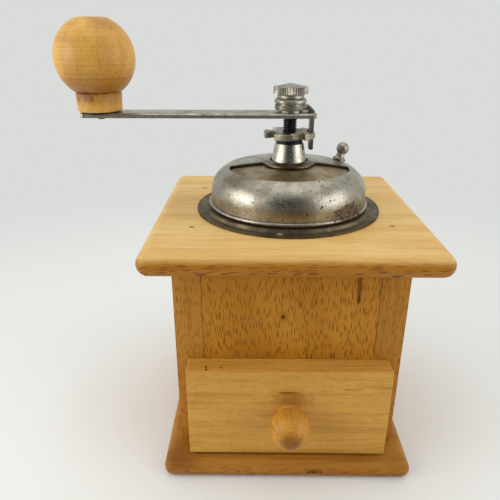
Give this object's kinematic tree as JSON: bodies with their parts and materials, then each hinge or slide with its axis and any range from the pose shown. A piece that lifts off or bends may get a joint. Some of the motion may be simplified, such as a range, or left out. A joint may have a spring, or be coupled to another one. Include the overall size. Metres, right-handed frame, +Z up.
{
  "type": "hand crank coffee grinder",
  "caption": "Wooden box coffee grinder with a drawer, a domed steel hopper with a turning cover, conical burrs and a hand crank with a ball knob.",
  "frame": {"origin": "middle of the base board's underside, directly below the spindle's axis", "axes": "+Z up along the spindle, -Y towards the drawer's front, +X to the right seen from the drawer's side"},
  "size_m": [0.2, 0.1597, 0.2414],
  "materials": {
    "beech_board": "honey varnished beech boards",
    "thin_board": "raw thin board",
    "beech_turned": "turned and varnished beech",
    "zinc_steel": "plain plated steel",
    "nail_steel": "darkened steel nail heads",
    "dark_sheet": "darkened pressed sheet steel",
    "dome_steel": "worn nickel plate with pits and rust",
    "nickel": "worn bright nickel plate",
    "black_steel": "blackened steel",
    "burr_iron": "machined cast iron"
  },
  "bodies": {
    "mill": {"base_plate": "beech_board", "top_plate": "beech_board", "side_board_left": "beech_board", "side_board_right": "beech_board", "front_panel": "beech_board", "back_board": "beech_board", "base_screws": "zinc_steel", "top_plate_nails": "nail_steel", "hopper_flange": "dark_sheet", "hopper_bowl": "dark_sheet", "bowl_floor": "dark_sheet", "hopper_screws": "zinc_steel", "inner_cover": "dome_steel", "bearing_bridge": "dark_sheet", "bearing_cone": "nickel", "thrust_washer": "black_steel", "outer_burr": "burr_iron", "lower_bearing": "dark_sheet", "burr_bolts": "zinc_steel", "burr_bolt_nuts": "zinc_steel"},
    "drawer": {"drawer_front": "beech_board", "drawer_side_left": "beech_board", "drawer_side_right": "beech_board", "drawer_back": "beech_board", "drawer_bottom": "thin_board", "drawer_knob": "beech_turned", "drawer_knob_screw": "zinc_steel"},
    "dome": {"dome_cover": "dome_steel", "dome_knob": "nickel"},
    "adjuster": {"adjusting_nut": "nickel"},
    "crank": {"spindle": "black_steel", "inner_burr": "burr_iron", "burr_nut": "zinc_steel", "spindle_spring": "zinc_steel", "crank_arm": "nickel", "lock_washer": "nickel", "locking_pawl": "nickel", "spring_washer": "nickel", "cap_nut": "nickel", "knob_pin": "black_steel", "knob_washer": "black_steel"},
    "knob": {"crank_knob": "beech_turned"}
  },
  "joints": [
    {"name": "drawer_slide", "type": "slide", "parent": "mill", "child": "drawer", "axis": [0, -1, 0], "range_m": [0, 0.085]},
    {"name": "dome_turn", "type": "hinge", "parent": "mill", "child": "dome", "pos_m": [0, 0, 0.14], "axis": [0, 0, 1], "range_deg": [0, 180]},
    {"name": "crank_turn", "type": "hinge", "parent": "mill", "child": "adjuster", "pos_m": [0, 0, 0.18], "axis": [0, 0, -1], "continuous": true},
    {"name": "grind_adjust", "type": "slide", "parent": "adjuster", "child": "crank", "axis": [0, 0, 1], "range_m": [-0.00125, 0.0005]},
    {"name": "knob_spin", "type": "hinge", "parent": "crank", "child": "knob", "pos_m": [-0.104, 0, 0.2], "axis": [0, 0, 1], "continuous": true}
  ]
}
